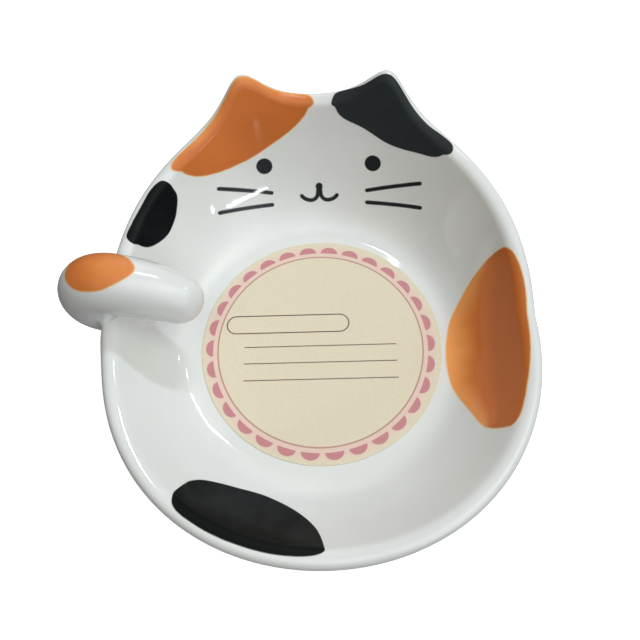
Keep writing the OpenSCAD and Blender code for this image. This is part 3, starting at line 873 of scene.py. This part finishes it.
def enamel(name, pale, body, deep, fringe, fringe_mm, mottle_mm, mirror):
    """An enamel from pale to deep by its tone number, which is painted light on the rump and right flank,
    mottled, that fades to the fringe at its border.
    """
    material, tree, shader, coords = new_material(name, IOR=glaze_ior, Roughness=glaze_rough,
                                                  Specular_IOR_Level=mirror)
    # The tone number: on the rump and right flank it paints a reflection low on the patch and, on the
    # flank, shade near the lip
    cover_and_painted_light = add(tree, "ShaderNodeAttribute", out="Fac", attribute_name="cover_and_painted_light")
    drift = add(tree, NOISE, {"Vector": coords, "Scale": per_mm(mottle_mm), "Detail": 4.0})
    drifting = add(tree, RANGE, {"Value": drift, "From Min": 0.3, "From Max": 0.7,
                                 "To Min": -mottle, "To Max": mottle})
    tone_depth = add(tree, MATH, {0: cover_and_painted_light, 1: drifting}, operation="ADD")
    to_body = add(tree, RANGE, {"Value": tone_depth, "From Max": 0.5}, interpolation_type=SOFT)
    to_deep = add(tree, RANGE, {"Value": tone_depth, "From Min": 0.5, "From Max": 1.0}, interpolation_type=SOFT)
    lighter = add(tree, MIX, {0: to_body, 6: linear(pale), 7: linear(body)}, 2, data_type="RGBA")
    tone = add(tree, MIX, {0: to_deep, 6: lighter, 7: linear(deep)}, 2, data_type="RGBA")
    inset = add(tree, "ShaderNodeAttribute", out="Fac", attribute_name="inset_mm")
    wander = add(tree, NOISE, {"Vector": coords, "Scale": per_mm(wander_mm), "Detail": 2.0})
    shifted = add(tree, RANGE, {"Value": wander, "To Min": -wander_by, "To Max": wander_by})
    way_in = add(tree, MATH, {0: inset, 1: shifted}, operation="ADD")
    covered = add(tree, RANGE, {"Value": way_in, "From Max": fringe_mm}, interpolation_type=SOFT)
    colour = add(tree, MIX, {0: covered, 6: linear(fringe), 7: tone}, 2, data_type="RGBA")
    tree.links.new(colour, shader.inputs["Base Color"])
    tree.links.new(glaze_ripple(tree, coords), shader.inputs["Normal"])
    return material


orange_enamel = enamel("orange overglaze enamel", "#f0a05c", "#d8793c", "#c87038", "#ecd2a4",
                       fringe_mm=0.45, mottle_mm=14, mirror=0.17)
black_enamel = enamel("black overglaze enamel", "#323638", "#282c2d", "#131617", "#8f918e",
                      fringe_mm=0.22, mottle_mm=10, mirror=0.05)
black_print = enamel("black printed enamel", "#2b2f31", "#262a2b", "#222627", "#8f918e",
                     fringe_mm=0.22, mottle_mm=10, mirror=0.5)
finishes = [(orange_enamel, coat["orange_enamel"]), (black_enamel, coat["black_enamel"]),
            (black_print, face_pieces)]
for finish, pieces in finishes:
    for piece in pieces:
        piece.data.materials.append(finish)
    print(finish.name, "on", len(pieces), "pieces")

# %% [markdown]
# ### Printed paper
#
# The label is cream paper with a dull coat. Its border is thirty pink scallops, which
# stand on a pale band round a thin brown-pink line. The border is drawn from the
# distance and the angle from the label's middle: the angle repeats every twelve degrees,
# and each scallop is half an ellipse. The middle carries only a plain round-ended frame
# and three ruled lines. Fibres of a few tenths of a millimetre keep the paper from
# looking flat.

# %% Place on the print, and the border
scallop_count, scallop_r, scallop_half, scallop_high = 30, 26.85, 2.25, 1.85
band_in, band_full, band_out, line_r, line_half = 25.9, 27.2, 29.6, 25.62, 0.2
to_mm, print_shift = (1 / MM, 1 / MM, 0.0), (0.28, 0.2, 0.0)

paper, tree, shader, coords = new_material("coated label paper", IOR=1.45, Roughness=0.55)
in_mm = add(tree, VECTOR, {0: coords, 1: to_mm, 2: print_shift}, operation="MULTIPLY_ADD")
x_mm = add(tree, "ShaderNodeSeparateXYZ", {0: in_mm}, "X")
y_mm = x_mm.node.outputs["Y"]
away = add(tree, VECTOR, {0: in_mm}, "Value", operation="LENGTH")
bearing = add(tree, MATH, {0: y_mm, 1: x_mm}, operation="ARCTAN2")
cells = add(tree, MATH, {0: bearing, 1: scallop_count / (2 * np.pi)}, operation="MULTIPLY")
in_cell = add(tree, MATH, {0: cells, 1: 0.5, 2: -0.5}, operation="WRAP")
cell_halves = 2 * np.pi * scallop_r / scallop_count / scallop_half
scallop_top = scallop_r + scallop_high
across = add(tree, MATH, {0: in_cell, 1: cell_halves}, operation="MULTIPLY")
upward = add(tree, RANGE, {"Value": away, "From Min": scallop_r, "From Max": scallop_top}, clamp=False)
from_base = add(tree, "ShaderNodeCombineXYZ", {0: across, 1: upward})
bow = add(tree, VECTOR, {0: from_base}, "Value", operation="LENGTH")
in_bow = add(tree, RANGE, {"Value": bow, "From Min": 1.04, "From Max": 0.93})
over_base = add(tree, RANGE, {"Value": upward, "From Min": -0.04, "From Max": 0.04})
scallop = add(tree, MATH, {0: in_bow, 1: over_base}, operation="MULTIPLY")
band_from = add(tree, RANGE, {"Value": away, "From Min": band_in - 0.25, "From Max": band_in + 0.1,
                              "To Max": 0.75})
band_to = add(tree, RANGE, {"Value": away, "From Min": band_out, "From Max": band_full},
              interpolation_type=SOFT)
band = add(tree, MATH, {0: band_from, 1: band_to}, operation="MULTIPLY")
on_line = add(tree, MATH, {0: away, 1: line_r, 2: line_half}, operation="COMPARE")
print("scallops stand %.2f mm apart" % (cell_halves * scallop_half))

# %% Frame and ruled lines
frame_at, frame_half, frame_line = (-8.1, 6.2, 0.0), (15.5, 2.4, 0.0), 0.16
rule_gap, rule_from, rule_to, rule_half, rule_line = 4.4, 2.4, -11.0, 19.0, 0.13
rule_middle, rule_reach = (rule_from + rule_to) / 2, (rule_from - rule_to) / 2

from_frame = add(tree, VECTOR, {0: in_mm, 1: frame_at}, operation="SUBTRACT")
folded = add(tree, VECTOR, {0: from_frame}, operation="ABSOLUTE")
core = (frame_half[0] - frame_half[1], 0.0, 0.0)
past_core = add(tree, VECTOR, {0: folded, 1: core}, operation="SUBTRACT")
held = add(tree, VECTOR, {0: past_core, 1: (0, 0, 0)}, operation="MAXIMUM")
from_core = add(tree, VECTOR, {0: held}, "Value", operation="LENGTH")
on_frame = add(tree, MATH, {0: from_core, 1: frame_half[1], 2: frame_line}, operation="COMPARE")
row = add(tree, MATH, {0: y_mm, 1: rule_gap / 2, 2: -rule_gap / 2}, operation="WRAP")
on_row = add(tree, MATH, {0: row, 1: 0.0, 2: rule_line}, operation="COMPARE")
in_height = add(tree, MATH, {0: y_mm, 1: rule_middle, 2: rule_reach}, operation="COMPARE")
in_width = add(tree, MATH, {0: x_mm, 1: 0.0, 2: rule_half}, operation="COMPARE")
in_block = add(tree, MATH, {0: in_height, 1: in_width}, operation="MULTIPLY")
on_rule = add(tree, MATH, {0: on_row, 1: in_block}, operation="MULTIPLY")
drawn = add(tree, MATH, {0: on_frame, 1: on_rule}, operation="MAXIMUM")
print("frame is %.1f by %.1f mm" % (2 * frame_half[0], 2 * frame_half[1]))

# %% Paper, ink and fibres together
fibre_mm, fibre_high = 0.6, 0.01
fibre = add(tree, NOISE, {"Vector": coords, "Scale": per_mm(fibre_mm), "Detail": 4.0, "Roughness": 0.6})
fibres = add(tree, RANGE, {"Value": fibre, "From Min": 0.3, "From Max": 0.7})
cream = add(tree, MIX, {0: fibres, 6: linear("#e2d8bf"), 7: linear("#ddd2b7")}, 2, data_type="RGBA")
printed = cream
for where, ink in ((band, "#e7c6bb"), (on_line, "#bf9386"), (scallop, "#c78489"), (drawn, "#6d5a4c")):
    printed = add(tree, MIX, {0: where, 6: printed, 7: linear(ink)}, 2, data_type="RGBA")
tree.links.new(printed, shader.inputs["Base Color"])
raised = add(tree, BUMP, {"Height": fibre, "Distance": fibre_high * MM})
tree.links.new(raised, shader.inputs["Normal"])
label.data.materials.append(paper)
print(paper.name, "with", scallop_count, "scallops")

# %% [markdown]
# ## Floor, light and camera
#
# The rest stands on a plain white floor that sweeps up into a white wall all round, as a
# studio's does, and both are bright enough to come out white. The light is a studio of
# soft boxes: each is a round glow in the air, brightest in one direction and falling off
# smoothly, so that the glaze shows no hard edge of a lamp. Two of them glow from below,
# as a white floor does on the outside of a dish. The strengths of the others were fitted
# to light and dark on the porcelain in the photograph, and then changed. Long thin
# lamps and small ones draw the fine streaks and dots on the glaze. The camera looks down
# at the dish from the near side, and its place was worked out from the photograph.

# %% Floor and sweep
sweep_from, sweep_arc, sweep_high, floor_middle = 2000.0, 1000.0, 4000.0, 0.001
stage_step, paint_mm = 5.0, 40

floor_paint, tree, shader, coords = new_material(
    "white studio paint", Roughness=0.9, Specular_IOR_Level=0.1,
    Emission_Color=linear("#ffffff"), Emission_Strength=0.6)
grain = add(tree, NOISE, {"Vector": coords, "Scale": per_mm(paint_mm), "Detail": 2.0})
pale = add(tree, MIX, {0: grain, 6: linear("#fbfbfb"), 7: linear("#f8f8f8")}, 2, data_type="RGBA")
tree.links.new(pale, shader.inputs["Base Color"])


def add_stage(name, radii, heights):
    """Makes a piece of the studio: a line of radii and heights, in millimetres, turned once round."""
    around = np.arange(0.0, 360.0, stage_step)
    grid = np.array([place(around, r + 0 * around, z) for r, z in zip(radii, heights)])
    stage = smooth_object(name, grid.reshape(-1, 3), [grid_faces(*grid.shape[:2], wrap=True)])
    stage.data.materials.append(floor_paint)
    stage.visible_diffuse = stage.visible_glossy = False
    return stage


sweep_turn = np.linspace(0, 90, 13)
sweep_radii = [*(sweep_from + sweep_arc * sin(sweep_turn)), sweep_from + sweep_arc]
sweep_heights = [*(sweep_arc - sweep_arc * cos(sweep_turn)), sweep_high]
add_stage("studio_floor", [floor_middle, sweep_from], [0.0, 0.0])
sweep = add_stage("studio_sweep", sweep_radii, sweep_heights)
sweep.visible_shadow = False
print("studio is %.1f m wide" % (2 * (sweep_from + sweep_arc) * MM))

# %% Soft boxes in the air
def direction(azimuth, elevation):
    """Unit vector of a direction given in degrees round from +X and up from level."""
    return (cos(azimuth) * cos(elevation), sin(azimuth) * cos(elevation), sin(elevation))


# Azimuth, elevation, how closely the glow keeps to its middle, and its red, green and blue
soft_boxes = [
    (0, 55, 24, (2.72, 2.88, 2.49)), (315, 55, 24, (1.36, 1.47, 1.52)), (315, 32, 24, (1.00, 1.06, 1.24)),
    (90, 32, 24, (1.38, 1.39, 1.36)), (270, 78, 24, (1.26, 1.33, 1.40)), (270, 55, 24, (0.80, 0.78, 0.85)),
    (90, 55, 24, (0.95, 0.85, 0.68)), (90, 10, 20, (0.66, 0.53, 0.56)), (0, 78, 24, (0.74, 0.64, 0.69)),
    (225, 55, 24, (0.82, 0.66, 0.36)), (180, 78, 24, (0.54, 0.60, 0.59)), (0, -90, 2, (0.40, 0.40, 0.40)),
    (45, -40, 3, (0.50, 0.50, 0.50))]
world = bpy.data.worlds.new("studio_air")
scene.world = world
world.use_nodes = True
air = world.node_tree
glow = (0.0, 0.0, 0.0)
for azimuth, elevation, power, colour in soft_boxes:
    towards = {0: add(air, "ShaderNodeTexCoord", out="Generated"), 1: direction(azimuth, elevation)}
    facing = add(air, VECTOR, towards, "Value", operation="DOT_PRODUCT")
    front = add(air, MATH, {0: facing, 1: 0.0}, operation="MAXIMUM")
    fall = add(air, MATH, {0: front, 1: float(power)}, operation="POWER")
    box = add(air, VECTOR, {0: colour, "Scale": fall}, operation="SCALE")
    glow = add(air, VECTOR, {0: box, 1: glow}, operation="ADD")
air.links.new(glow, air.nodes["Background"].inputs["Color"])
print("soft boxes:", len(soft_boxes))

# %% Thin lamps
lamp_distance, cold, plain = 1500.0, "#e4eeff", "#ffffff"


def add_strip(name, start, end, width, power, colour):
    """A thin straight lamp between two directions, some millimetres wide, that faces the dish."""
    p, q = [Vector(direction(*way)) * lamp_distance * MM for way in (start, end)]
    along = (q - p).normalized()
    out = ((p + q) / 2 - along * ((p + q) / 2).dot(along)).normalized()
    light = bpy.data.lights.new(name, "AREA")
    light.shape, light.size, light.size_y = "RECTANGLE", (q - p).length, width * MM
    light.energy, light.color = power, linear(colour)[:3]
    lamp = bpy.data.objects.new(name, light)
    scene.collection.objects.link(lamp)
    stand = Matrix((along, out.cross(along), out)).transposed().to_4x4()
    lamp.matrix_world = Matrix.Translation((p + q) / 2) @ stand
    return lamp


# Name, two directions as azimuth and elevation, width, watts and colour
lamps = [("far_strip", (54, 49.5), (72, 56), 40, 4.6, cold),
         ("lip_lamp", (46.5, 50), (50, 52.5), 20, 0.3, cold),
         ("far_strip_end", (72, 56), (85, 63), 16, 0.9, cold),
         ("far_lamp", (33, 36), (36, 37), 40, 0.4, cold),
         ("near_strip", (-41, 20.5), (-64, 24), 34, 1.6, plain),
         ("near_lamp", (-33.7, 17.2), (-35, 17.2), 34, 0.14, plain),
         ("low_lamp", (-64.6, 14.4), (-66, 14.6), 16, 0.3, plain)]
print("thin lamps:", [add_strip(*lamp).name for lamp in lamps])

# %% Camera
sensor_mm, focal_px, image_px = 36.0, 590, 640
camera_at = np.array([1.374, -56.449, 142.963])
camera_ahead = np.array([-0.01051, 0.42015, -0.90739])
camera_right = np.array([0.99961, -0.01915, -0.02044])
camera_up = np.cross(camera_right, camera_ahead)
camera_data = bpy.data.cameras.new("camera")
camera_data.sensor_width, camera_data.lens = sensor_mm, sensor_mm * focal_px / image_px
camera_data.clip_start, camera_data.clip_end = 0.01, 20.0
camera = bpy.data.objects.new("camera", camera_data)
scene.collection.objects.link(camera)
stand = np.eye(4)
stand[:3, :3] = np.stack([camera_right, camera_up, -camera_ahead], 1)
stand[:3, 3] = camera_at * MM
camera.matrix_world = Matrix(stand.tolist())
bpy.context.scene.camera = camera
scene.view_settings.view_transform = "Standard"
print("camera %.0f mm over the floor" % camera_at[2])
